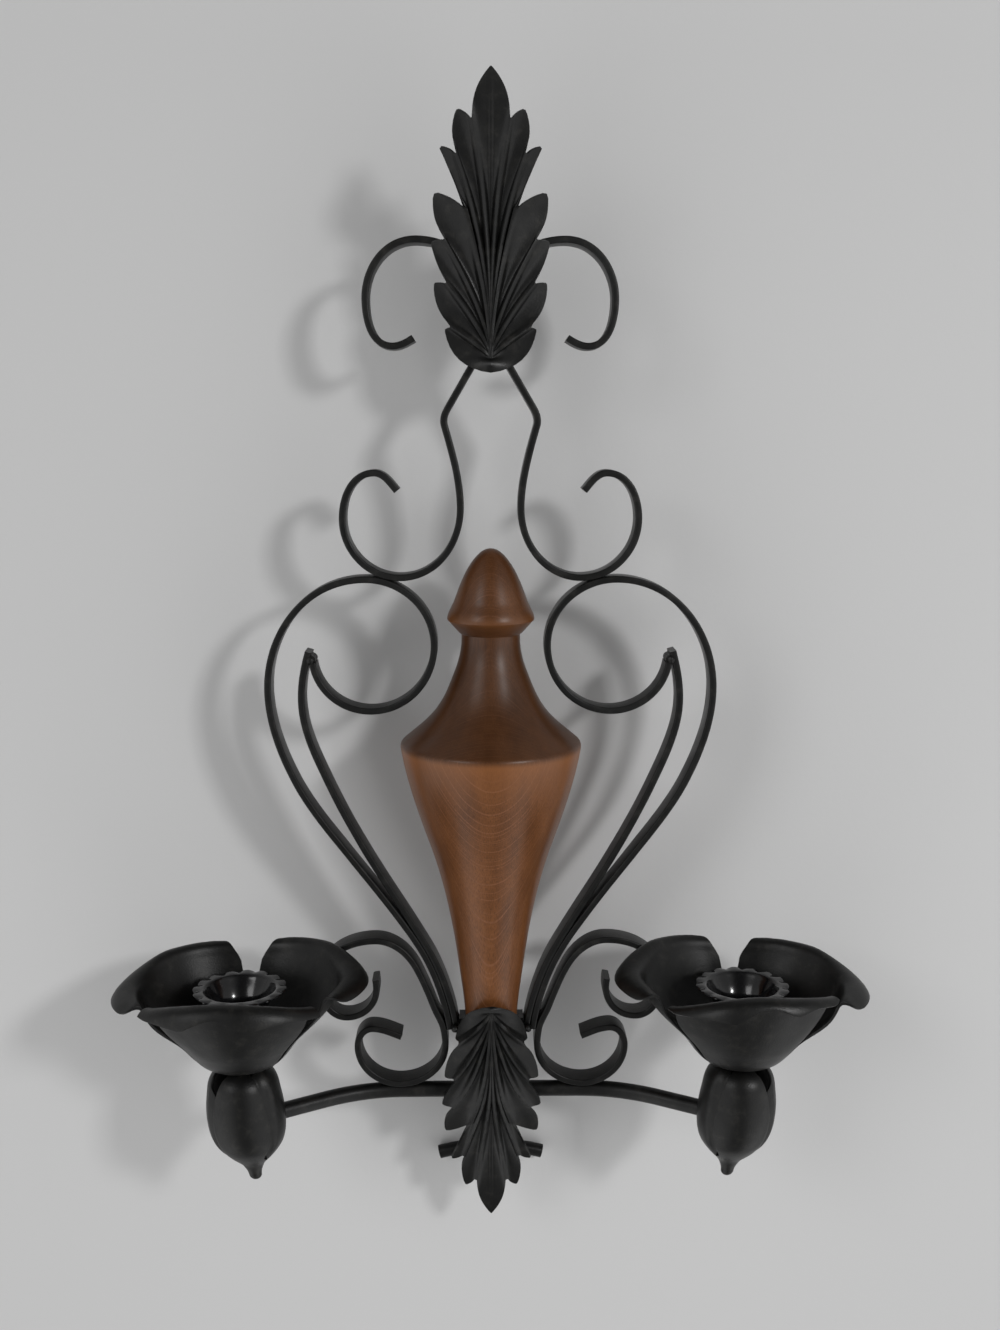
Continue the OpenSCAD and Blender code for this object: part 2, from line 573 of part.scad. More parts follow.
module side_beads() {
    bead([50 * fit.x, bar_back - 0.2, -141.6 * fit.y], 2.2);
    bead_run([86.3 * fit.x, -stand_off, -180.5 * fit.y], 2.5, bar_w - 3, [90, 0, 0]);
    bead([(tail_low.x - 1.6) * fit.x, bar_back, tail_low.y * fit.y], 2);
    bead([(tail_end.x + 1.8) * fit.x, bar_back, (tail_end.y + 1) * fit.y], 2);
    bead_run([seat_half, -stand_off, seat_z - seat_t - 0.3], 1.6, 7, [90, 0, 0]);
    bead([45.9 * fit.x, bar_back + 0.2, scroll_foot_z + 0.4], 1.9);
    bead([cup_x - 4.4 * cos(arm_turn), cup_y + 4.4 * sin(arm_turn), arm_mid_z], 4.7);
    bead([bar_w / 2, spine_front - bar_t / 2, arm_mid_z], 1.8);
    bead([bar_w / 2, -rest_d + 0.4, rest_z - 0.4], 1.8);
    bead_run([leaf_bead_x, bar_front - 1.8, (tail_end.y + 1.5) * fit.y], 1.8, 1.6,
        [90, 0, 0]);
}

module weld_beads() {
    color(iron) {
        side_beads();
        left_side() side_beads();
        bead_run([0, bar_front - 1.8, -21], 2.2, 8, [0, 0, 0]);
        bead_run([0, bar_back + 0.2, -31.4], 1.9, 5, [0, 90, 0]);
    }
}

left_side() frame_bar(upper_scroll_bend);  // left_upper_scroll
frame_bar(upper_scroll_bend);  // right_upper_scroll
left_side() frame_bar(outer_scroll_bend);  // left_outer_scroll
frame_bar(outer_scroll_bend);  // right_outer_scroll
left_side() frame_bar(inner_bar_bend);  // left_inner_bar
frame_bar(inner_bar_bend);  // right_inner_bar
left_side() frame_bar(lower_scroll_bend);  // left_lower_scroll
frame_bar(lower_scroll_bend);  // right_lower_scroll
hanger_strap();
spine_strap();
wall_rest();
candle_arm();
weld_beads();
top_leaf();
bottom_leaf();
baluster();
baluster_seat();
baluster_screw();
left_side() stem();  // left_stem
stem();  // right_stem
left_side() calyx();  // left_calyx
calyx();  // right_calyx
left_side() finial_nut();  // left_finial_nut
finial_nut();  // right_finial_nut
left_side() bowl_washer();  // left_bowl_washer
bowl_washer();  // right_bowl_washer
left_side() flower_bowl();  // left_flower_bowl
flower_bowl();  // right_flower_bowl
left_side() bowl_screw();  // left_bowl_screw
bowl_screw();  // right_bowl_screw
left_side() candle_cup();  // left_candle_cup
candle_cup();  // right_candle_cup
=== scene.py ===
import math

import bmesh
import bpy
import numpy as np
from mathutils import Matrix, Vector


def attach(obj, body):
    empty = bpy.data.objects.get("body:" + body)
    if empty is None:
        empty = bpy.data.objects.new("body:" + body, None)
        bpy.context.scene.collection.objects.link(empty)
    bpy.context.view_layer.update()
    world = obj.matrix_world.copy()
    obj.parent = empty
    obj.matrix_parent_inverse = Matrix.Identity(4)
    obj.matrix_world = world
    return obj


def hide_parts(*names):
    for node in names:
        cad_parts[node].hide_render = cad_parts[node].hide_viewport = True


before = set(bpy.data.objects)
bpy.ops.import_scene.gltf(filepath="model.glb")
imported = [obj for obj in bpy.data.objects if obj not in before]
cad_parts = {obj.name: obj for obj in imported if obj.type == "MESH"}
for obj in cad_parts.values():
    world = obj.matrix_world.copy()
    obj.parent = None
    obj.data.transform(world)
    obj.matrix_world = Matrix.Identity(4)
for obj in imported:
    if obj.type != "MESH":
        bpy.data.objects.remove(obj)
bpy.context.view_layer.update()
MM = 0.001


# The place: a plain painted wall that the sconce hangs on, lit by a small softbox up on the
# right, which throws the shadows down to the left, and by a wide weak one on the left. The
# camera stands where the photographer stood, a little above and left, looking slightly down.
def linear(code):
    """An sRGB hex colour, such as "#6b4423", as the linear colour a shader takes."""
    parts = [int(code[i : i + 2], 16) / 255 for i in (1, 3, 5)]
    return (*[c / 12.92 if c <= 0.04045 else ((c + 0.055) / 1.055) ** 2.4 for c in parts], 1)


def add(tree, kind, links=None, **settings):
    """Adds a node; links gives its inputs, by name or number, a value or another node's output."""
    node = tree.nodes.new(kind)
    for name, value in settings.items():
        setattr(node, name, value)
    for key, value in (links or {}).items():
        if isinstance(value, bpy.types.NodeSocket):
            tree.links.new(value, node.inputs[key])
        else:
            node.inputs[key].default_value = value
    return node


def ramp(tree, value, *stops):
    """A colour ramp: stops are place, then hex colour or grey level."""
    node = add(tree, "ShaderNodeValToRGB", {"Fac": value})
    while len(node.color_ramp.elements) < len(stops):
        node.color_ramp.elements.new(0.5)
    for element, (place, colour) in zip(node.color_ramp.elements, stops):
        element.position = place
        element.color = linear(colour) if isinstance(colour, str) else (colour, colour, colour, 1)
    return node.outputs["Color"]


def new_material(name):
    material = bpy.data.materials.new(name)
    material.use_nodes = True
    material.node_tree.nodes.clear()
    return material, material.node_tree


# Matt emulsion on plaster: pale grey, with a roller's stipple of about 4 mm and broad uneven
# patches of half a metre, and painted light that makes it a little lighter towards the foot
wall_paint, tree = new_material("matt emulsion wall")
where = add(tree, "ShaderNodeTexCoord").outputs["Object"]
stipple = add(tree, "ShaderNodeTexNoise", {"Vector": where, "Scale": 240, "Detail": 3})
patches = add(tree, "ShaderNodeTexNoise", {"Vector": where, "Scale": 2.2, "Detail": 2})
up_wall = add(tree, "ShaderNodeSeparateXYZ", {0: where}).outputs["Z"]
drift = add(
    tree,
    "ShaderNodeMath",
    {0: patches.outputs["Fac"], 1: 0.12, 2: up_wall},
    operation="MULTIPLY_ADD",
)
# Painted light: the colour grows lighter towards the foot, mixed with the broad patches
patches_and_painted_foot_light = add(tree, "ShaderNodeMapRange", {"Value": drift.outputs[0], "From Min": -0.62, "From Max": 0.16})
shade = ramp(tree, patches_and_painted_foot_light.outputs[0], (0.0, "#cccccc"), (0.5, "#c9c9c9"), (1.0, "#bbbbbb"))
bump = add(tree, "ShaderNodeBump", {"Strength": 0.25, "Distance": 0.0003, "Height": stipple.outputs["Fac"]})
paint = add(
    tree,
    "ShaderNodeBsdfPrincipled",
    {"Base Color": shade, "Roughness": 0.9, "Normal": bump.outputs[0]},
)
# Seen from behind, the wall is left out, so that the back of the sconce shows
clear = add(tree, "ShaderNodeBsdfTransparent")
behind = add(tree, "ShaderNodeNewGeometry").outputs["Backfacing"]
either = add(tree, "ShaderNodeMixShader", {0: behind, 1: paint.outputs[0], 2: clear.outputs[0]})
add(tree, "ShaderNodeOutputMaterial", {"Surface": either.outputs[0]})

# Three metres each way from the middle, and 0.8 mm behind the sconce's back, so that nothing
# shares its plane
far, wall_y = 3, 0.0008
wall_corners = [(-far, -far), (far, -far), (far, far), (-far, far)]
wall_mesh = bpy.data.meshes.new("wall")
wall_mesh.from_pydata([(x, wall_y, z) for x, z in wall_corners], [], [(0, 1, 2, 3)])
wall_mesh.materials.append(wall_paint)
wall = bpy.data.objects.new("wall", wall_mesh)
bpy.context.collection.objects.link(wall)

aim = Vector((0, -0.05, -0.2))
for name, place, size, power in (
    ("key_softbox", (1.28, -1.72, 0.6), 0.26, 16.5),
    ("left_softbox", (-1.5, -1.9, 0.9), 1.0, 11),
):
    lamp = bpy.data.lights.new(name, "AREA")
    lamp.energy, lamp.size = power, size
    holder = bpy.data.objects.new(name, lamp)
    holder.location = place
    holder.rotation_euler = (aim - Vector(place)).to_track_quat("-Z", "Y").to_euler()
    bpy.context.collection.objects.link(holder)

world = bpy.data.worlds.new("room")
world.use_nodes = True
# The room is pale below and to both sides, and dim above and behind the photographer
direction = add(world.node_tree, "ShaderNodeTexCoord").outputs["Generated"]
compass = add(world.node_tree, "ShaderNodeSeparateXYZ", {0: direction}).outputs
steepness = add(
    world.node_tree, "ShaderNodeMapRange", {"Value": compass["Z"], "From Min": -1, "From Max": 1}
)
room = ramp(
    world.node_tree, steepness.outputs[0],
    (0.0, 0.8), (0.42, 0.68), (0.55, 0.52), (0.75, 0.26), (1.0, 0.16),
)
sideways = add(world.node_tree, "ShaderNodeMath", {0: compass["X"]}, operation="ABSOLUTE")
flank = add(
    world.node_tree,
    "ShaderNodeMapRange",
    {"Value": sideways.outputs[0], "From Min": 0.12, "From Max": 0.6, "To Min": 0.32, "To Max": 1.8},
    interpolation_type="SMOOTHSTEP",
)
lit = add(world.node_tree, "ShaderNodeVectorMath", {0: room, "Scale": flank.outputs[0]}, operation="SCALE")
world.node_tree.links.new(lit.outputs[0], world.node_tree.nodes["Background"].inputs["Color"])
bpy.context.scene.world = world
bpy.context.scene.view_settings.view_transform = "Standard"

eye = bpy.data.cameras.new("camera")
eye.lens = 37.895
eye.clip_start = 0.02
camera = bpy.data.objects.new("camera", eye)
camera.location = (-0.00635, -0.71235, -0.072)
look_down, look_right = math.radians(9.53), math.radians(0.928)
camera.rotation_euler = (math.pi / 2 - look_down, 0, -look_right)
bpy.context.collection.objects.link(camera)
bpy.context.scene.camera = camera


# The frame: eight scrolls and bars of 3.2 x 12.7 mm flat iron, bent cold round formers and cut
# off square, then welded into two mirrored halves and sprayed satin black. The same stock makes
# the strap from the arm back to the wall, and 7 to 8 mm round rod the arm and the wall rest.
bar_thickness, bar_width, stand_off = 3.2, 12.7, 46


def bend(stations, steps=30):
    """Points along a bar in mm: stations are two coordinates and a heading in degrees."""
    points = []
    for a, b in zip(stations, stations[1:]):
        start, end = np.array(a[:2], float), np.array(b[:2], float)
        reach = np.linalg.norm(end - start) * 2 / 3 / (1 + math.cos(math.radians(b[2] - a[2]) / 2))
        near = start + reach * np.array([math.cos(math.radians(a[2])), math.sin(math.radians(a[2]))])
        far = end - reach * np.array([math.cos(math.radians(b[2])), math.sin(math.radians(b[2]))])
        for t in np.linspace(0, 1, steps, endpoint=False):
            s = 1 - t
            points.append(s**3 * start + 3 * s * s * t * near + 3 * s * t * t * far + t**3 * end)
    return np.array([*points, end])


def beside(station, bars, turn):
    """The station so many bar thicknesses to the left of another, for bars that lie together."""
    step = bars * (bar_thickness + 0.05)
    angle = math.radians(station[2])
    return [station[0] - step * math.sin(angle), station[1] + step * math.cos(angle), station[2] + turn]


def node_group(name, sockets):
    """A geometry tree with a Geometry input and output and the named inputs with their defaults."""
    group = bpy.data.node_groups.new(name, "GeometryNodeTree")
    group.interface.new_socket("Geometry", in_out="OUTPUT", socket_type="NodeSocketGeometry")
    group.interface.new_socket("Geometry", in_out="INPUT", socket_type="NodeSocketGeometry")
    for title, kind, value in sockets:
        socket = group.interface.new_socket(title, in_out="INPUT", socket_type=kind)
        if value is not None:
            socket.default_value = value
    return group


# One bar or rod swept along its path, with rolled edges and the slight unevenness of the forge
sweep = node_group(
    "bar swept along its bend",
    [
        ("Width", "NodeSocketFloat", bar_width * MM),
        ("Thickness", "NodeSocketFloat", bar_thickness * MM),
        ("Edge radius", "NodeSocketFloat", 0.7 * MM),
        ("Edge steps", "NodeSocketInt", 4),
        ("Unevenness", "NodeSocketFloat", 0.22 * MM),
        ("Seed", "NodeSocketFloat", 0.0),
        ("Turn", "NodeSocketVector", (0, 0, 0)),
        ("Place", "NodeSocketVector", (0, 0, 0)),
        ("Material", "NodeSocketMaterial", None),
    ],
)
given = add(sweep, "NodeGroupInput").outputs
path = add(sweep, "GeometryNodeMeshToCurve", {"Mesh": given["Geometry"]})
level = add(sweep, "GeometryNodeSetCurveNormal", {"Curve": path.outputs[0]}, mode="Z_UP")
ends = add(sweep, "GeometryNodeCurveEndpointSelection", {"Start Size": 1, "End Size": 1})
worn = add(
    sweep,
    "GeometryNodeSetCurveRadius",
    {"Curve": level.outputs[0], "Selection": ends.outputs[0], "Radius": 0.93},
)
outline = add(
    sweep,
    "GeometryNodeCurvePrimitiveQuadrilateral",
    {"Width": given["Thickness"], "Height": given["Width"]},
)
rolled = add(
    sweep,
    "GeometryNodeFilletCurve",
    {"Curve": outline.outputs[0], "Count": given["Edge steps"], "Radius": given["Edge radius"]},
    mode="POLY",
)
swept = add(
    sweep,
    "GeometryNodeCurveToMesh",
    {"Curve": worn.outputs[0], "Profile Curve": rolled.outputs[0], "Fill Caps": True},
)
here = add(sweep, "GeometryNodeInputPosition").outputs[0]
ripple = add(
    sweep,
    "ShaderNodeTexNoise",
    {"Vector": here, "W": given["Seed"], "Scale": 55, "Detail": 2},
    noise_dimensions="4D",
)
centred = add(
    sweep,
    "ShaderNodeVectorMath",
    {0: ripple.outputs["Color"], 1: (0.5, 0.5, 0.5)},
    operation="SUBTRACT",
)
nudge = add(
    sweep,
    "ShaderNodeVectorMath",
    {0: centred.outputs[0], "Scale": given["Unevenness"]},
    operation="SCALE",
)
uneven = add(sweep, "GeometryNodeSetPosition", {"Geometry": swept.outputs[0], "Offset": nudge.outputs[0]})
placed = add(
    sweep,
    "GeometryNodeTransform",
    {"Geometry": uneven.outputs[0], "Rotation": given["Turn"], "Translation": given["Place"]},
)
real = add(sweep, "GeometryNodeRealizeInstances", {"Geometry": placed.outputs[0]})
smooth = add(sweep, "GeometryNodeSetShadeSmooth", {"Geometry": real.outputs[0]})
finished = add(
    sweep,
    "GeometryNodeSetMaterial",
    {"Geometry": smooth.outputs[0], "Material": given["Material"]},
)
add(sweep, "NodeGroupOutput", {"Geometry": finished.outputs[0]})


def grown(name, vertices, edges, group, values, **at_points):
    """Runs a geometry tree on a wire of vertices and edges, and returns its result as a mesh piece."""
    wire = bpy.data.meshes.new(name + "_wire")
    wire.from_pydata([tuple(v) for v in vertices], edges, [])
    for title, numbers in at_points.items():
        wire.attributes.new(title, "FLOAT", "POINT").data.foreach_set("value", numbers)
    carrier = bpy.data.objects.new(name + "_wire", wire)
    bpy.context.collection.objects.link(carrier)
    modifier = carrier.modifiers.new("tree", "NODES")
    modifier.node_group = group
    for item in group.interface.items_tree:
        if item.in_out == "INPUT" and item.name in values:
            modifier[item.identifier] = values[item.name]
    mesh = bpy.data.meshes.new_from_object(carrier.evaluated_get(bpy.context.evaluated_depsgraph_get()))
    carrier.modifiers.remove(modifier)
    bpy.data.objects.remove(carrier)
    piece = bpy.data.objects.new(name, mesh)
    mesh.name = name
    bpy.context.collection.objects.link(piece)
    return piece


def bar(name, points, **values):
    points = np.asarray(points) * MM
    wire = [(u, v, 0) for u, v in points]
    return grown(name, wire, [(i, i + 1) for i in range(len(wire) - 1)], sweep, values)


# Satin black stove paint on iron: nearly black, slightly mottled, with a fine orange peel that
# breaks up the highlights. It gives soft wide glints on the curves and grey edges. The mottling is
# about 6 mm across, the orange peel just under 1 mm, and patches of handling about 22 mm.
iron, tree = new_material("satin black paint on iron")
where = add(tree, "ShaderNodeTexCoord").outputs["Object"]
mottle = add(tree, "ShaderNodeTexNoise", {"Vector": where, "Scale": 170, "Detail": 5, "Roughness": 0.6})
peel = add(tree, "ShaderNodeTexNoise", {"Vector": where, "Scale": 1300, "Detail": 2})
handling = add(tree, "ShaderNodeTexNoise", {"Vector": where, "Scale": 45, "Detail": 3})
colour = ramp(tree, mottle.outputs["Fac"], (0.34, "#090909"), (0.54, "#0f0f0e"), (0.7, "#201f1d"))
sheen = add(
    tree,
    "ShaderNodeMapRange",
    {"Value": handling.outputs["Fac"], "From Min": 0.3, "From Max": 0.7, "To Min": 0.31, "To Max": 0.46},
)
bump = add(tree, "ShaderNodeBump", {"Strength": 0.5, "Distance": 0.00014, "Height": peel.outputs["Fac"]})
paint = add(
    tree,
    "ShaderNodeBsdfPrincipled",
    {
        "Base Color": colour,
        "Roughness": sheen.outputs[0],
        "Specular IOR Level": 0.27,
        "Normal": bump.outputs[0],
    },
)
add(tree, "ShaderNodeOutputMaterial", {"Surface": paint.outputs[0]})

tail_top, tail_low, tail_end = [33.8, -327.6, -119.5], [24.6, -350, -107], [20.6, -367.5, -99]
right_bars = {
    "upper_scroll": [
        [35.5, -30.2, -32], [45.2, -33.9, 0], [57.5, -12.8, 90], [34.4, 13.7, 180],
        [1.61, -14, 270], [1.61, -27, 270], [4.2, -35.2, 300.5], [19.9, -61.9, 300.5],
        [21.6, -70, 254], [14.3, -108.5, 270], [42.9, -141, 360], [69.8, -113.5, 450],
        [54.7, -91.9, 540], [44, -100.2, 590],
    ],
    "outer_scroll": [
        [85.3, -182, -98], [57.8, -205.4, -180], [27.1, -173.6, -270], [60, -141.9, -360],
        [107, -195, -450], [94.8, -240.2, -476], [70.1, -276.7, -487], [48.5, -305.4, -485.5],
        beside(tail_top, 0, -360), beside(tail_low, 0, -360), beside(tail_end, 0, -360),
    ],
    "inner_bar": [
        [87.2, -176.5, -74], [91, -200, -90], [78.5, -241.7, -114], [58.7, -279.9, -120],
        beside(tail_top, -1, 0), beside(tail_low, -1, 0), beside(tail_end, -1, 0),
    ],
    "lower_scroll": [
        [57.6, -341.5, -100], [57.2, -347.5, -86], [71.9, -361, 0], [85, -342.5, 90],
        [57.4, -321.2, 180], [37.3, -335.4, 242], [28.6, -356, 250], beside(tail_end, 1, 360),
        [23, -376, 270], [45.9, -396.5, 360], [66.9, -376.5, 450], [59.3, -367.2, 541],
        [45, -371.6, 562],
    ],
}
in_frame_plane = {"Turn": (math.pi / 2, 0, 0), "Place": (0, -stand_off * MM, 0)}
for number, (title, stations) in enumerate(right_bars.items()):
    for side, sign in (("left", -1), ("right", 1)):
        points = bend(stations) * (sign, 1)
        seed = number * 2.0 + sign
        piece = bar(f"forged_{side}_{title}", points, Seed=seed, Material=iron, **in_frame_plane)
        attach(piece, "frame")
        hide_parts(f"{side}_{title}")

# The strap behind the arm, welded to it and to the wall rest
arm_z = -402.1
spine_stations = [
    [-40.4, arm_z + 16, -90], [-40.4, arm_z - 8, -90],
    [-24.575, -432.05, -46], [-8.75, -453, -90], [-8.75, -461, -90],
]
upright = {"Turn": (math.pi / 2, 0, math.pi / 2)}
piece = bar("forged_spine_strap", bend(spine_stations), Seed=21.0, Material=iron, **upright)
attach(piece, "frame")
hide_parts("spine_strap")

# The round rods: the rest that keeps the foot off the wall, and the arm that carries the bowls
rest_radius, rest_half, rest_d, rest_z = 105, 28, 7.1, -456
turn = rest_half / rest_radius
arc = [
    (math.sin(a) * rest_radius, math.cos(a) * rest_radius - rest_radius)
    for a in np.linspace(-turn, turn, 40)
]
round_rod = {"Width": rest_d * MM, "Thickness": rest_d * MM, "Edge radius": 3.5 * MM, "Edge steps": 7}
on_wall = {"Turn": (math.pi / 2, 0, 0), "Place": (0, -rest_d / 2 * MM, rest_z * MM)}
piece = bar("wall_rest_rod", arc, Seed=22.0, Material=iron, **on_wall, **round_rod)
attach(piece, "frame")
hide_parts("wall_rest")

cup_x, cup_y = 120, -78
# The arm is straight, then bends 30 degrees forward round an 80 mm former, and ends at the stem
forward, arm_bend, former, arm_d = 32, math.radians(30), 80, 7.9
arm_end = forward - former * (1 - math.cos(arm_bend))
bend_x = former * math.sin(arm_bend)
straight = cup_x - arm_end / math.tan(arm_bend) - bend_x
half_arm = [[straight, 0, 0], [straight + bend_x, -10.72, -30], [cup_x - 4.16, -forward + 2.4, -30]]
stations = [[-x, y, -turn] for x, y, turn in reversed(half_arm)] + half_arm
round_arm = {"Width": arm_d * MM, "Thickness": arm_d * MM, "Edge radius": 3.9 * MM, "Edge steps": 7}
in_place = {"Place": (0, -stand_off * MM, arm_z * MM)}
piece = bar("candle_arm_rod", bend(stations), Seed=23.0, Material=iron, **in_place, **round_arm)
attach(piece, "frame")
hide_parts("candle_arm")

# The welds: dots and short runs of bead on the hidden sides of the joints, left as they fell and
# painted over. Drops along each run melt together into one lumpy bead.
weld = node_group(
    "weld bead",
    [
        ("Drop spacing", "NodeSocketFloat", 1.2 * MM),
        ("Grain", "NodeSocketFloat", 0.35 * MM),
        ("Lumpiness", "NodeSocketFloat", 0.5 * MM),
        ("Material", "NodeSocketMaterial", None),
    ],
)
given = add(weld, "NodeGroupInput").outputs
run = add(weld, "GeometryNodeMeshToCurve", {"Mesh": given["Geometry"]})
drops = add(
    weld,
    "GeometryNodeCurveToPoints",
    {"Curve": run.outputs[0], "Length": given["Drop spacing"]},
    mode="LENGTH",
)
drop_size = add(weld, "GeometryNodeInputNamedAttribute", {"Name": "drop_radius"}, data_type="FLOAT")
melted = add(
    weld,
    "GeometryNodePointsToVolume",
    {"Points": drops.outputs[0], "Voxel Size": given["Grain"], "Radius": drop_size.outputs["Attribute"]},
    resolution_mode="VOXEL_SIZE",
)
crust = add(weld, "GeometryNodeVolumeToMesh", {"Volume": melted.outputs[0]}, resolution_mode="GRID")
here = add(weld, "GeometryNodeInputPosition").outputs[0]
lumps = add(weld, "ShaderNodeTexNoise", {"Vector": here, "Scale": 650, "Detail": 1})
centred = add(
    weld,
    "ShaderNodeVectorMath",
    {0: lumps.outputs["Color"], 1: (0.5, 0.5, 0.5)},
    operation="SUBTRACT",
)
nudge = add(
    weld,
    "ShaderNodeVectorMath",
    {0: centred.outputs[0], "Scale": given["Lumpiness"]},
    operation="SCALE",
)
lumpy = add(weld, "GeometryNodeSetPosition", {"Geometry": crust.outputs[0], "Offset": nudge.outputs[0]})
real = add(weld, "GeometryNodeRealizeInstances", {"Geometry": lumpy.outputs[0]})
smooth = add(weld, "GeometryNodeSetShadeSmooth", {"Geometry": real.outputs[0]})
finished = add(
    weld,
    "GeometryNodeSetMaterial",
    {"Geometry": smooth.outputs[0], "Material": given["Material"]},
)
add(weld, "NodeGroupOutput", {"Geometry": finished.outputs[0]})

# Middle of each run, direction, length and bead radius in mm
side_runs = [
    ((50, -39.85, -141.6), (0, 0, 1), 0.4, 2.2),
    ((86.3, -46, -180.5), (0, 1, 0), 9.7, 2.4),
    ((23, -39.65, -350), (0, 0, 1), 0.4, 2.0),
    ((22.4, -39.65, -366.5), (0, 0, 1), 0.4, 2.0),
    ((16.05, -46, -365.3), (0, 1, 0), 7, 1.6),
    ((45.9, -39.45, -397.7), (1, 0, 0), 0.4, 1.9),
    ((116.2, -75.8, arm_z), (0.86, -0.5, 0), 0.6, 4.6),
    ((6.35, -42, arm_z), (0, 0, 1), 0.4, 1.8),
    ((6.35, -6.7, -456.4), (0, 0, 1), 0.4, 1.8),
    ((18.1, -54.15, -366), (0, 1, 0), 1.6, 1.8),
]
middle_runs = [((0, -54.15, -21), (0, 0, 1), 8, 2.2), ((0, -39.45, -31.4), (1, 0, 0), 5, 1.9)]
ends_of_runs, radii = [], []
for (x, y, z), (dx, dy, dz), length, radius in side_runs + middle_runs:
    for sign in (1, -1) if x else (1,):
        for t in (-length / 2, length / 2):
            ends_of_runs.append((sign * (x + t * dx) * MM, (y + t * dy) * MM, (z + t * dz) * MM))
            radii.append(radius * MM)
pairs = [(i, i + 1) for i in range(0, len(radii), 2)]
piece = grown("weld_bead_runs", ends_of_runs, pairs, weld, {"Material": iron}, drop_radius=radii)
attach(piece, "frame")
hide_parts("weld_beads")

# The hanger strap with its nail hole, the baluster's seat plate and the two stems are plain stock
# that the CAD has right, so they stay, in the same paint
for title in ("hanger_strap", "baluster_seat", "left_stem", "right_stem"):
    for slot in bpy.data.objects[title].material_slots:
        slot.material = iron


# The leaves: two acanthus leaves stamped from 1 mm steel, ribbed from the stalk out to every notch
# and hollow towards every tip. The top one stands up and leans out, the bottom one hangs down and
# bends back to the wall; each is welded behind to the bars it covers.
leaf_length, leaf_half = 132.5, 26.5
half_outline = [
    (0, 0), (20.6, 19), (17.2, 20.1), (25.2, 40), (19, 39.3), (26.5, 57.5), (19.8, 58.5),
    (25, 78), (10.2, 71.3), (22.3, 98.5), (14.4, 96), (14.3, 115.5), (7.9, 111), (0, 132.5),
]
# How far each edge between two corners swells out
swell = [5.5, 0.5, 2.5, 0.5, 1, 0.8, 2.3, 1.5, 0.3, 1, 2, 0.8, 2.6]


def pressed(name, points, faces, sheet, material, edge=0.25, crease=40):
    """A piece pressed from sheet: its outer face in mm, given the sheet's thickness behind it."""
    mesh = bpy.data.meshes.new(name + "_face")
    mesh.from_pydata((np.asarray(points) * MM).tolist(), [], faces)
    blank = bpy.data.objects.new(name + "_face", mesh)
    bpy.context.collection.objects.link(blank)
    gauge = blank.modifiers.new("sheet", "SOLIDIFY")
    gauge.thickness, gauge.offset = sheet * MM, -1
    deburred = blank.modifiers.new("deburred edge", "BEVEL")
    deburred.width, deburred.segments = edge * MM, 2
    deburred.limit_method, deburred.angle_limit = "ANGLE", math.radians(50)
    solid = bpy.data.meshes.new_from_object(blank.evaluated_get(bpy.context.evaluated_depsgraph_get()))
    bpy.data.objects.remove(blank)
    solid.name = name
    solid.shade_smooth()
    solid.set_sharp_from_angle(angle=math.radians(crease))
    solid.materials.append(material)
    piece = bpy.data.objects.new(name, solid)
    bpy.context.collection.objects.link(piece)
    return piece


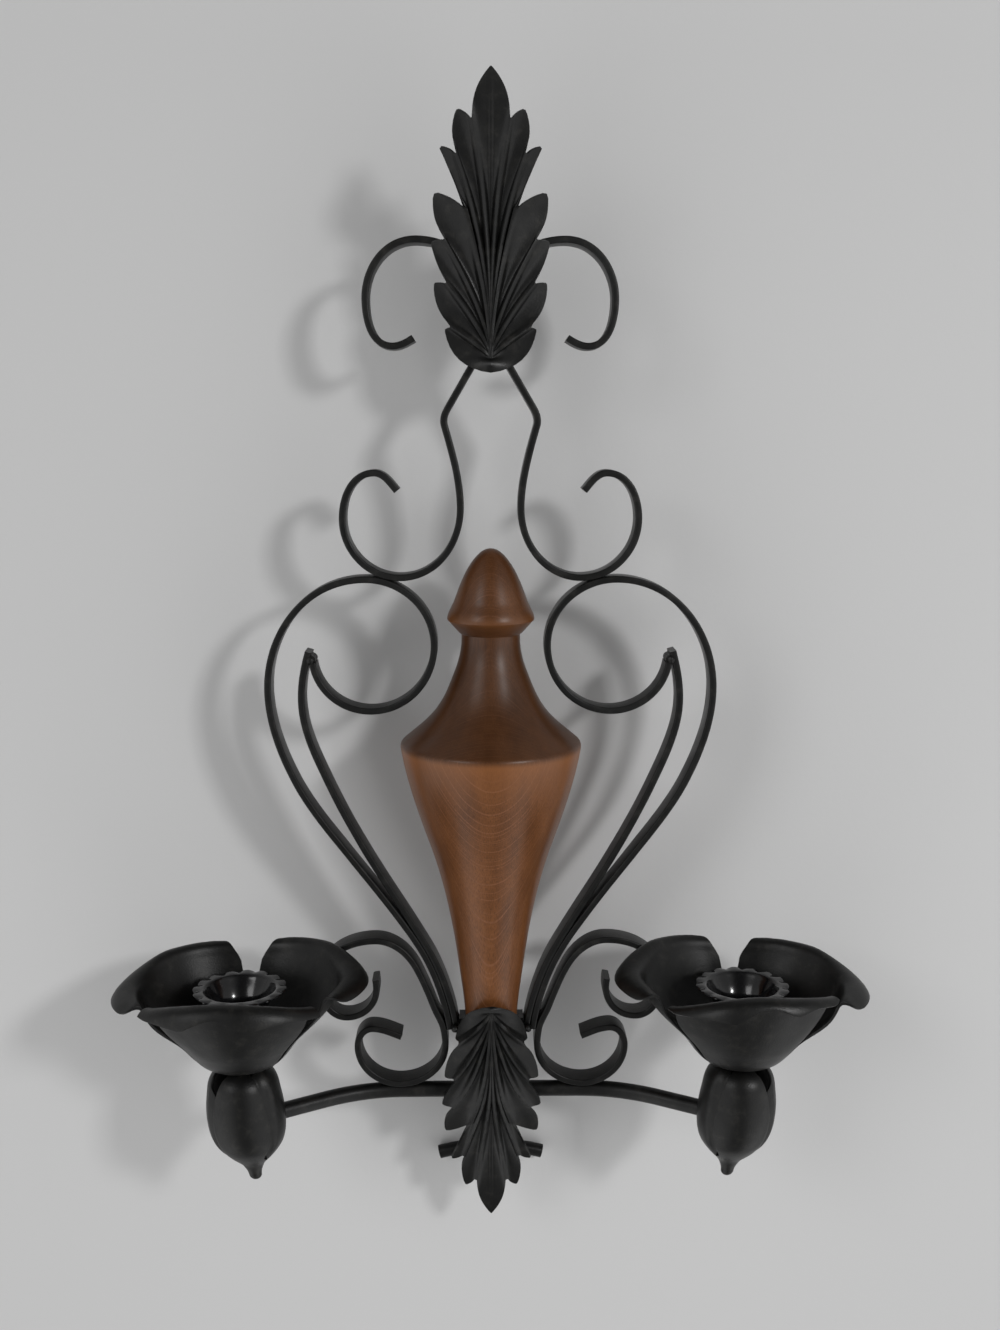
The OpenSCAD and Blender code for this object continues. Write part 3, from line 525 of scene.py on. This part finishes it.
def stamped_leaf(name, stations, front, width, root, hollows):
    """A leaf along its bend in the plane x = 0; root is where its veins start along it, and hollows
    are [length along it, how hollow it is]."""
    edge = []
    for i, (a, b) in enumerate(zip(half_outline, half_outline[1:])):
        a, b = np.array(a, float), np.array(b, float)
        along = (b - a) / np.linalg.norm(b - a)
        places = np.linspace(0, 1, 9 if i < 12 else 13)[:-1]
        if i == 12:
            places = 1 - (1 - places) ** 1.5
        for t in places:
            x, y = a + t * (b - a) + 4 * swell[i] * t * (1 - t) * np.array([along[1], -along[0]])
            edge.append((x, y, (i + t) / 2))
    edge += [(0, leaf_length, 6.5)] + [(-x, y, z) for x, y, z in edge[:0:-1]]
    edge_x, edge_y, key = np.array(edge).T
    # The blanking die leaves the tips and notches slightly rounded
    edge_x, edge_y = [
        (np.roll(line, 1) + 2.4 * line + np.roll(line, -1)) / 4.4 for line in (edge_x, edge_y)
    ]
    # The veins swing out from the midrib, one to each place on the edge
    v = np.concatenate([np.linspace(0, 0.99, 70)[1:], [1]])[:, None]
    x = edge_x * v ** (1.25 + 1.5 * (edge_y / leaf_length) ** 2) * width / 2 / leaf_half
    y = root + (edge_y - root) * v
    # Ribs stand highest where they are far apart, are broad at the stalk and sharpen to the notches
    apart = np.hypot(np.gradient(x, axis=1), np.gradient(y, axis=1))
    apart /= np.maximum(np.abs(np.gradient(key)), 1e-3)
    wide = 10
    window = np.ones(2 * wide + 1) / (2 * wide + 1)
    spread = np.concatenate([apart[:, -wide:], apart, apart[:, :wide]], axis=1)
    spread = np.apply_along_axis(lambda row: np.convolve(row, window, "valid"), 1, spread)
    height = 3.2 * (1 - np.exp(-((spread / 8.5) ** 1.8))) * (1 - 0.4 * v**3)
    swell_up = (1 + np.cos(2 * math.pi * key)) / 2
    rib = 0.5 * swell_up + 0.5 * swell_up ** (1 + 7 * v**1.5)
    lift = height * (rib - 0.35) + 0.5 * np.exp(-((x / 0.8) ** 2)) * (1 - v**6)
    lift += 0.8 * (1 - swell_up) * v**6
    x = np.concatenate([[0], x.ravel()])
    s = np.concatenate([[root], y.ravel()])
    lift = np.concatenate([[0], lift.ravel()])
    path = bend(stations, 30)
    steps = np.diff(path, axis=0, prepend=path[:1])
    length = np.cumsum(np.hypot(steps[:, 0], steps[:, 1]))
    tangent = np.gradient(path, axis=0)
    tangent /= np.linalg.norm(tangent, axis=1)[:, None]
    normal_y = front * np.interp(s, length, -tangent[:, 1])
    normal_z = front * np.interp(s, length, tangent[:, 0])
    far = np.interp(s, *zip(*hollows))
    up = lift - far * x * x
    points = np.stack(
        [
            x * (1 - (far * x) ** 2 * 2 / 3),
            np.interp(s, length, path[:, 0]) + up * normal_y,
            np.interp(s, length, path[:, 1]) + up * normal_z,
        ],
        axis=1,
    )
    rows, columns = v.size, edge_x.size
    faces = [(0, 1 + i, 1 + (i + 1) % columns) for i in range(columns)]
    for row in range(rows - 1):
        for i in range(columns):
            a, b = 1 + row * columns + i, 1 + row * columns + (i + 1) % columns
            faces.append((a, a + columns, b + columns, b))
    if front > 0:
        faces = [f[::-1] for f in faces]
    return pressed(name, points, faces, 1, iron, edge=0.22)


top_y = -57.75
top_stations = [[top_y, -46, 90], [top_y - 2, 22, 97], [top_y - 20, 56, 112], [top_y - 24.5, 84, 90]]
top_hollows = [(0, 0.0045), (leaf_length, 0.008)]
low_y, low_z = -63.0, -350.8
low_stations = [
    [low_y, low_z, -93.4], [low_y - 0.8, low_z - 30, -89.6], [low_y + 6.5, low_z - 53.5, -56.2],
    [low_y + 19.2, low_z - 75, -62.5], [low_y + 26.1, low_z - 98.9, -85.1],
    [low_y + 28, low_z - 126.3, -87.3],
]
low_hollows = [(0, 0.0312), (45, 0.0052), (90, -0.0045), (leaf_length, 0.0046)]
for title, stations, front, width, root, hollows in (
    ("top_leaf", top_stations, 1, 55, 6, top_hollows),
    ("bottom_leaf", low_stations, -1, 50.2, 2.5, low_hollows),
):
    piece = stamped_leaf(f"stamped_{title}", stations, front, width, root, hollows)
    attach(piece, "frame")
    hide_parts(title)


# The baluster: one piece of beech turned on a lathe, an acorn on a flared neck over a long taper,
# stained walnut brown and lacquered. It stands on the seat plate, held by a wood screw from below.
def turned(name, profile, centre, material, sides=96, crease=35):
    """A piece turned round an upright axis, from the radii and heights of its profile in mm."""
    points, rows = [], []
    for radius, height in profile:
        if radius < 1e-6:
            rows.append([len(points)] * sides)
            points.append((*centre, height))
            continue
        rows.append([len(points) + i for i in range(sides)])
        for i in range(sides):
            angle = 2 * math.pi * i / sides
            x, y = centre[0] + radius * math.cos(angle), centre[1] + radius * math.sin(angle)
            points.append((x, y, height))
    faces = []
    for low, high in zip(rows, rows[1:]):
        for i in range(sides):
            j = (i + 1) % sides
            faces.append(list(dict.fromkeys((low[i], low[j], high[j], high[i]))))
    return closed(name, points, faces, material, crease)


def closed(name, points, faces, material, crease=35):
    """A closed piece from points in mm, its faces turned outward, smooth but for its creases."""
    mesh = bpy.data.meshes.new(name)
    mesh.from_pydata((np.asarray(points) * MM).tolist(), [], faces)
    shape = bmesh.new()
    shape.from_mesh(mesh)
    bmesh.ops.recalc_face_normals(shape, faces=shape.faces)
    shape.to_mesh(mesh)
    shape.free()
    mesh.shade_smooth()
    mesh.set_sharp_from_angle(angle=math.radians(crease))
    mesh.materials.append(material)
    piece = bpy.data.objects.new(name, mesh)
    bpy.context.collection.objects.link(piece)
    return piece


# Stained beech: growth rings lie nearly flat behind the face, so the taper cuts them into nested
# arcs about 2 mm apart; pores run upright, and the turned edges are lighter and orange, partly from
# thin stain and partly from a painted highlight. The real pores are 0.1 mm wide and are drawn at
# 0.4 mm, so that they show.
seat_z = -362
wood, tree = new_material("walnut-stained beech, lacquered")
where = add(tree, "ShaderNodeTexCoord").outputs["Object"]
slow = add(tree, "ShaderNodeMapping", {"Vector": where, "Scale": (1, 1, 0.25)})
warp = add(tree, "ShaderNodeTexNoise", {"Vector": slow.outputs[0], "Scale": 26, "Detail": 2})
pith = add(tree, "ShaderNodeVectorMath", {0: where, 1: (0.0055, 0.11, 0)}, operation="SUBTRACT")
across = add(tree, "ShaderNodeVectorMath", {0: pith.outputs[0], 1: (1, 1, 0)}, operation="MULTIPLY")
radius = add(tree, "ShaderNodeVectorMath", {0: across.outputs[0]}, operation="LENGTH")
wander = add(
    tree,
    "ShaderNodeMath",
    {0: warp.outputs["Fac"], 1: 0.0035, 2: radius.outputs["Value"]},
    operation="MULTIPLY_ADD",
)
count = add(tree, "ShaderNodeMath", {0: wander.outputs[0], 1: 2900}, operation="MULTIPLY")
rings = add(
    tree,
    "ShaderNodeTexNoise",
    {"W": count.outputs[0], "Scale": 1, "Detail": 1},
    noise_dimensions="1D",
)
ring_lines = ramp(tree, rings.outputs["Fac"], (0.5, 0.0), (0.62, 0.2), (0.72, 0.85))
stretched = add(tree, "ShaderNodeMapping", {"Vector": where, "Scale": (1, 1, 0.07)})
pores = add(
    tree,
    "ShaderNodeTexNoise",
    {"Vector": stretched.outputs[0], "Scale": 2600, "Detail": 3, "Roughness": 0.6},
)
pore_lines = ramp(tree, pores.outputs["Fac"], (0.34, 0.45), (0.5, 0.85), (0.64, 1.0))
blotches = add(
    tree,
    "ShaderNodeTexNoise",
    {"Vector": slow.outputs[0], "Scale": 75, "Detail": 4, "Roughness": 0.55},
)
stain = ramp(tree, blotches.outputs["Fac"], (0.3, "#5b371d"), (0.5, "#6e4425"), (0.72, "#81522f"))
lined = add(
    tree,
    "ShaderNodeMix",
    {"Factor": ring_lines, 6: stain, 7: linear("#83563a")},
    data_type="RGBA",
)
pored = add(
    tree,
    "ShaderNodeMix",
    {"Factor": pore_lines, 6: linear("#482b18"), 7: lined.outputs[2]},
    data_type="RGBA",
)
height = add(tree, "ShaderNodeSeparateXYZ", {0: where}).outputs["Z"]
level = add(
    tree,
    "ShaderNodeMapRange",
    {"Value": height, "From Min": seat_z * MM, "From Max": (seat_z + 234.5) * MM, "To Min": 0, "To Max": 1},
)
# Lighter and more orange just under the shoulder's edge and along the acorn's rim: partly thin stain,
# partly a painted highlight along those edges
edge_highlight_and_stain_mask = ramp(
    tree, level.outputs[0],
    (0.49, 0.0), (0.56, 0.35), (0.588, 0.6), (0.597, 0.1),
    (0.83, 0.0), (0.845, 0.1), (0.853, 0.7), (0.875, 0.0),
)
colour_with_edge_highlight = add(
    tree,
    "ShaderNodeMix",
    {"Factor": edge_highlight_and_stain_mask, 6: pored.outputs[2], 7: linear("#8f5a31")},
    data_type="RGBA",
)
# The flare, the neck and the acorn are coloured darker than the taper
darker_above_shoulder = ramp(
    tree, level.outputs[0],
    (0.0, 1.0), (0.585, 0.9), (0.6, 0.42), (0.8, 0.36), (0.84, 0.5), (0.9, 0.6), (1.0, 0.5),
)
stained = add(
    tree,
    "ShaderNodeMix",
    {"Factor": 1.0, 6: colour_with_edge_highlight.outputs[2], 7: darker_above_shoulder},
    data_type="RGBA",
    blend_type="MULTIPLY",
)
polish = add(
    tree,
    "ShaderNodeMapRange",
    {"Value": blotches.outputs["Fac"], "From Min": 0.3, "From Max": 0.7, "To Min": 0.28, "To Max": 0.4},
)
bump = add(tree, "ShaderNodeBump", {"Strength": 0.25, "Distance": 0.00008, "Height": pores.outputs["Fac"]})
lacquer = add(
    tree,
    "ShaderNodeBsdfPrincipled",
    {
        "Base Color": stained.outputs[2],
        "Roughness": polish.outputs[0],
        "Specular IOR Level": 0.3,
        "Normal": bump.outputs[0],
    },
)
add(tree, "ShaderNodeOutputMaterial", {"Surface": lacquer.outputs[0]})

acorn = bend([[0, 234.5, 0], [7.5, 230, -50], [17.5, 209.7, -70], [20.9, 201.5, -80]], 12)
under_acorn = [
    (20.95, 200.9), (20.7, 200.2), (20.2, 199.8), (15.3, 194.3), (14.7, 193.9), (14.2, 193.5), (14.05, 193),
]
flare = bend([[14.1, 191.5, -90], [17.3, 175.7, -69], [26.6, 156.6, -53], [42.9, 141.2, -41]], 14)
shoulder = [(43.55, 140.4), (43.85, 139.5)]
taper = bend([[43.9, 138.5, -99], [30, 89.5, -109.5], [15.9, 25.5, -97.5], [13, 0.6, -93]], 20)
foot = [(12.5, 0), (2.4, 0), (2.4, 28), (0, 28)]
profile = [*acorn, *under_acorn, *flare, *shoulder, *taper, *foot]
piece = turned(
    "turned_baluster", [(r, seat_z + h) for r, h in profile], (0, -stand_off), wood, sides=160, crease=30
)
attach(piece, "frame")
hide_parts("baluster")

# The screws and washers: zinc-plated steel, bright but dulled by handling, hidden under the seat
# plate and in the floor of each bowl. Its spangle is under 1 mm and its dull spots are 3 mm.
zinc, tree = new_material("zinc plate on steel")
where = add(tree, "ShaderNodeTexCoord").outputs["Object"]
spangle = add(tree, "ShaderNodeTexVoronoi", {"Vector": where, "Scale": 1400})
dull = add(tree, "ShaderNodeTexNoise", {"Vector": where, "Scale": 320, "Detail": 4})
colour = ramp(tree, dull.outputs["Fac"], (0.35, "#8a8c8e"), (0.7, "#b4b6b8"))
haze = add(
    tree,
    "ShaderNodeMapRange",
    {"Value": spangle.outputs["Distance"], "From Min": 0, "From Max": 1, "To Min": 0.3, "To Max": 0.5},
)
plate = add(
    tree,
    "ShaderNodeBsdfPrincipled",
    {"Base Color": colour, "Metallic": 1.0, "Roughness": haze.outputs[0]},
)
add(tree, "ShaderNodeOutputMaterial", {"Surface": plate.outputs[0]})
bowl_fixings = ("left_bowl_screw", "right_bowl_screw", "left_bowl_washer", "right_bowl_washer")
for title in ("baluster_screw", *bowl_fixings):
    for slot in bpy.data.objects[title].material_slots:
        slot.material = zinc


# The flower bowls: each one disc of 1.2 mm steel cut into three petals, dished up from a flat floor
# and rolled over at the rim. The front petal's rim is cut in waves and rolled down by hand, so the
# two bowls differ. The left bowl is made in mirror image.
def reading(place, table, blur=6):
    """A table of [place, size] read at a place, with its corners rounded off."""
    places, sizes = zip(*table)
    return float(np.mean([np.interp(place + d, places, sizes) for d in np.linspace(-blur, blur, 9)]))


bowl_z, petal_half = -370.9, 60
# Rim and rolled edge: degrees round the bowl from the side next to the wall, then mm
side_rim = (
    [(0, 40.5), (30, 44), (60, 47.9), (90, 52), (118, 48.5)],
    [(0, 44.8), (30, 46), (60, 46.6), (90, 39.5), (118, 36.5)],
)
side_roll = (
    [(0, 42.6), (30, 46), (58, 49.6), (75, 56), (90, 61), (104, 58.5), (118, 53)],
    [(0, 43), (30, 44.2), (58, 44.6), (75, 40), (90, 35.2), (104, 34), (118, 33)],
)
# The front petal's crest, from its left end to its right end; it is held level with the floor
front_crest = {
    "right": [
        (-1, 36.5), (-0.85, 39.2), (-0.62, 42.7), (-0.4, 45.1), (-0.18, 46.4),
        (0.04, 46.8), (0.27, 46.3), (0.54, 45.3), (0.86, 43.2), (1, 42),
    ],
    "left": [
        (-1, 37.6), (-0.73, 41.7), (-0.42, 44.1), (-0.16, 44.9), (0.1, 45),
        (0.34, 44.2), (0.59, 42.6), (0.85, 39.6), (1, 37.6),
    ],
}
# How far it is rolled down, from left to right
rolled_down = {
    "right": [
        (-1, 1.6), (-0.9, 3.8), (-0.52, 7.6), (-0.27, 10.6), (0, 5.2),
        (0.17, 4.7), (0.4, 8), (0.64, 4.7), (0.93, 4.2), (1, 2.2),
    ],
    "left": [
        (-1, 4.5), (-0.86, 6.2), (-0.57, 9.3), (-0.44, 10.7), (-0.29, 8), (-0.13, 6.2),
        (-0.02, 6.7), (0.13, 10.2), (0.31, 10.7), (0.46, 8.9), (0.66, 6.7), (1, 5),
    ],
}
# Half the width of the gap between two petals at each height
gap = [(0, 0.3), (4, 2.2), (27, 3.4), (37, 5.5), (42, 8.5), (47, 10)]
roll_length = 11.5
# Points along each bend and roll, and rings across the whole section
bend_steps, section_rings = 24, 64
# How far out towards a petal's edges its round corners start, as a part of its half width
corner_from = 0.84


def petal_section(side, middle, u):
    """Radii, heights and turns from the screw hole out to the rim, at u from -1 to 1 across a petal."""
    front = middle == 270
    if front:
        across = u if side == "right" else -u
        r, h = 42 + 5 * abs(u) ** 1.5, reading(across, front_crest[side], 0.1)
        roll_end = [r + 0.52 * roll_length, h - 0.85 * roll_length, -75]
        kept, corner = reading(across, rolled_down[side], 0.04) / roll_length, 0
    else:
        place = abs((middle + petal_half * u + 450) % 360 - 180)
        r, h = reading(place, side_rim[0]), reading(place, side_rim[1])
        roll_end = [reading(place, side_roll[0]), reading(place, side_roll[1]), -64]
        # Towards the gap at the back the roll runs out into a plain round corner
        kept = 1 - np.clip((28 - place) / 14, 0, 1)
        corner = 7.5 if place < 60 else 9
    roll = bend([[r, h, 0], roll_end], bend_steps)
    rise = bend([[14.2, 0, 0], [27, 10.5, 52], [r - 4, h - 6, 66], [r, h, 0]], bend_steps)
    section = np.concatenate([[[2.2, 0], [8, 0]], rise, roll[1:]])
    half = np.interp(section[:, 1], *zip(*gap))
    half[-len(roll) :] = half[-len(roll)]
    half[:2] = 0.1
    steps = np.diff(section, axis=0, prepend=section[:1])
    length = np.cumsum(np.hypot(steps[:, 0], steps[:, 1]))
    # The sheet ends at the cut rim, and its corners are rounded
    crest = length[-1 - bend_steps]
    edge = crest + kept * (length[-1] - crest)
    into_corner = np.clip((abs(u) - corner_from) / (1 - corner_from), 0, 1)
    edge -= corner * (1 - math.sqrt(1 - into_corner**2))
    places = np.linspace(0, edge, section_rings)
    r, h, half = [np.interp(places, length, values) for values in (section[:, 0], section[:, 1], half)]
    turn = np.radians(middle + u * (petal_half - np.degrees(np.arcsin(half / (r + 2)))))
    sag = 0 if front else 4.4 * np.cos(turn) * np.maximum(0, r / 61.3 - 0.25)
    return r, h - sag, turn


# The petals are joined only across the flat floor, which is the first few rings
columns, floor_rings = 45, 12
for side, sign in (("left", -1), ("right", 1)):
    points, faces = [], []
    for middle in (30, 150, 270):
        for u in np.sin(np.linspace(-math.pi / 2, math.pi / 2, columns)):
            r, h, turn = petal_section(side, middle, u)
            x, y = sign * (cup_x + r * np.cos(turn)), cup_y + r * np.sin(turn)
            points.append(np.stack([x, y, bowl_z + h], axis=1))
    rings = len(points[0])
    for c in range(3 * columns):
        joined = c % columns == columns - 1
        for k in range(floor_rings if joined else rings - 1):
            a, b = c * rings + k, (c + 1) % (3 * columns) * rings + k
            faces.append((a, b, b + 1, a + 1) if sign > 0 else (a, a + 1, b + 1, b))
    piece = pressed(f"pressed_{side}_flower_bowl", np.concatenate(points), faces, 1.2, iron, edge=0.35)
    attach(piece, "frame")
    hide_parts(f"{side}_flower_bowl")


# The calyx under each bowl: three petals of the same sheet closed into a bulb round the stem, with
# slits between them, and a turned nub that is the nut that clamps it. The bulbs hang a little askew.
def askew(z):
    """How far the bulb has swung towards the middle of the sconce at each height."""
    return 5 * np.clip((-376 - z) / 56, 0, 2) ** 1.6


bulb_stations = [
    [10, -373, -30], [15.2, -377.6, -56], [17.9, -388, -80],
    [18.75, -399.5, -92], [15.1, -413.3, -126], [9.2, -419.8, -137],
]
bulb = bend(bulb_stations, 10)
bulb = np.concatenate([bulb, [[5.5, -419.8], [2.4, -419.8]]])
# Half of each petal in degrees, by height: the front one, the edges at the back, and the edges that
# are tucked under the front one, of which the inner one reaches further up
front_half = [
    (-419.8, 60), (-418.6, 46), (-417, 38), (-413, 39), (-408, 43),
    (-402, 46), (-395, 45.5), (-385, 41), (-376, 33), (-373, 26),
]
back_half = [
    (-419.8, 60), (-418.6, 52), (-413, 50), (-402, 54), (-395, 53), (-385, 44), (-376, 33), (-373, 26),
]
tucked_half = [
    (-419.8, 60), (-418.6, 66), (-415, 76), (-392, 80), (-385, 74), (-380, 62), (-376, 52), (-373, 40),
]
closed_half = [(-419.8, 60), (-418.6, 66), (-415, 76), (-392, 80), (-378, 84), (-375, 87), (-373, 80)]
calyx_petals = ((30, tucked_half, back_half), (150, back_half, closed_half), (270, front_half, front_half))
across = 33
for side, sign in (("left", -1), ("right", 1)):
    points, faces = [], []
    for middle, before, after in calyx_petals:
        for u in np.linspace(-1, 1, across):
            swing = u * np.array([np.interp(z, *zip(*(before if u < 0 else after))) for z in bulb[:, 1]])
            r = bulb[:, 0] - (0 if middle == 270 else 1.7 * np.clip((np.abs(swing) - 62) / 10, 0, 1))
            angle = np.radians(middle + swing)
            x = cup_x + r * np.cos(angle) - askew(bulb[:, 1])
            points.append(np.stack([sign * x, cup_y + r * np.sin(angle), bulb[:, 1]], axis=1))
    rings = len(bulb)
    for c in range(3 * across):
        joined = c % across == across - 1
        for k in range(rings - 3 if joined else 0, rings - 1):
            a, b = c * rings + k, (c + 1) % (3 * across) * rings + k
            faces.append((a, a + 1, b + 1, b) if sign > 0 else (a, b, b + 1, a + 1))
    piece = pressed(f"pressed_{side}_calyx", np.concatenate(points), faces, 1.2, iron, edge=0.3)
    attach(piece, "frame")
    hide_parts(f"{side}_calyx")

    nub = bend([[9.1, -419.9, -137], [4.9, -424.6, -118], [3.1, -429.6, -92], [0, -432.2, -180]], 10)
    stud = [(0, -410.5), (2, -410.5), (2, -419.85)]
    outline = [*stud, *nub[:-1], (0, -432.2)]
    piece = turned(f"turned_{side}_finial_nut", outline, (sign * cup_x, cup_y), iron, 64)
    for vertex in piece.data.vertices:
        vertex.co.x -= sign * float(askew(vertex.co.z / MM)) * MM
    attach(piece, "frame")
    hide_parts(f"{side}_finial_nut")


# The candle cups: spun sockets for 7/8 inch candles, standing loose over the screw head, with a
# flared flange crimped into sixteen ruffles, in gloss black enamel with 1 mm specks of dust and a
# film that varies over 8 mm.
enamel, tree = new_material("gloss black enamel")
where = add(tree, "ShaderNodeTexCoord").outputs["Object"]
dust = add(tree, "ShaderNodeTexNoise", {"Vector": where, "Scale": 900, "Detail": 4, "Roughness": 0.7})
film = add(tree, "ShaderNodeTexNoise", {"Vector": where, "Scale": 120, "Detail": 2})
colour = ramp(tree, dust.outputs["Fac"], (0.5, "#0e0e0f"), (0.72, "#1a1a1c"))
gloss = add(
    tree,
    "ShaderNodeMapRange",
    {"Value": film.outputs["Fac"], "From Min": 0.3, "From Max": 0.7, "To Min": 0.1, "To Max": 0.2},
)
bump = add(tree, "ShaderNodeBump", {"Strength": 0.2, "Distance": 0.0001, "Height": film.outputs["Fac"]})
coat = add(
    tree,
    "ShaderNodeBsdfPrincipled",
    {"Base Color": colour, "Roughness": gloss.outputs[0], "IOR": 1.5, "Normal": bump.outputs[0]},
)
add(tree, "ShaderNodeOutputMaterial", {"Surface": coat.outputs[0]})

cup_z = -369.7
socket = [(0, 3.2), (5.2, 3.2), (5.2, 0.2), (5.4, 0), (12.6, 0), (12.9, 0.3)]
flared = bend([[12.9, 22.5, 90], [14.9, 29.8, 58], [19.2, 34.2, 30], [21.9, 34.9, 8]], 10)
rim = [(22.3, 35.1), (22.4, 35.5), (22.1, 35.8)]
throat = bend(
    [[21.6, 35.9, 182], [17.8, 35.6, 192], [15.9, 33.6, 238], [12.8, 28.6, 242], [11.2, 24, 270]], 8
)
inside = [(11.2, 5), (10.8, 4.6), (0, 4.6)]
ruffled = []
for r, h in [*socket, *flared, *rim, *throat, *inside]:
    ruffled.append((r, h, min(1, max(0, (r - 17.2) / 4.6)) ** 1.3))
sides = 16 * 14
for side, sign in (("left", -1), ("right", 1)):
    points, rows = [], []
    for r, h, wave in ruffled:
        count = 1 if r == 0 else sides
        rows.append([len(points) + i % count for i in range(sides)])
        for i in range(count):
            angle = 2 * math.pi * i / sides
            ripple = wave * (2 * abs(math.cos(8 * angle)) - 1.3)
            reach = r - 0.3 * wave + 0.45 * ripple
            x, y = sign * cup_x + reach * math.cos(angle), cup_y + reach * math.sin(angle)
            points.append((x, y, cup_z + h - 0.3 * wave + 0.4 * ripple))
    faces = []
    for low, high in zip(rows, rows[1:]):
        for i in range(sides):
            j = (i + 1) % sides
            faces.append(list(dict.fromkeys((low[i], low[j], high[j], high[i]))))
    piece = closed(f"spun_{side}_candle_cup", points, faces, enamel, crease=40)
    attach(piece, f"{side}_cup")
    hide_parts(f"{side}_candle_cup")
